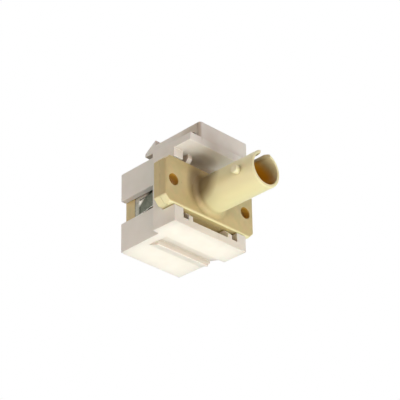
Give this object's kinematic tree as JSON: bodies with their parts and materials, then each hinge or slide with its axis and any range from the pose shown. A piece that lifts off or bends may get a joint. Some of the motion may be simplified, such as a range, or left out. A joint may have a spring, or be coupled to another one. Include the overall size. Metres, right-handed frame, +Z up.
{
  "type": "fibre optic adapter in a snap-in bezel",
  "caption": "Bayonet fibre barrel on a flanged adapter with a square socket behind, clipped into a white snap-in bezel with a latch arm.",
  "frame": {"origin": "middle of the overall width and length, level with the crest of the hook underneath", "axes": "+X along the flange, +Y from the barrel towards the square socket along the fibre's axis, +Z up with the latch arm on top"},
  "size_m": [0.022, 0.0288, 0.021],
  "materials": {
    "white_plastic": "white moulded plastic with a fine satin grain",
    "beige_plastic": "beige moulded plastic with a soft gloss",
    "insert_plastic": "darker beige moulded plastic, satin",
    "sleeve_bronze": "plain rolled bronze strip",
    "spring_steel": "dark rolled spring steel"
  },
  "bodies": {
    "root": {"bezel_housing": "white_plastic", "adapter_front_half": "beige_plastic", "adapter_rear_half": "beige_plastic", "sc_latch_insert": "insert_plastic", "alignment_sleeve": "sleeve_bronze", "retaining_clip": "spring_steel"}
  },
  "joints": []
}
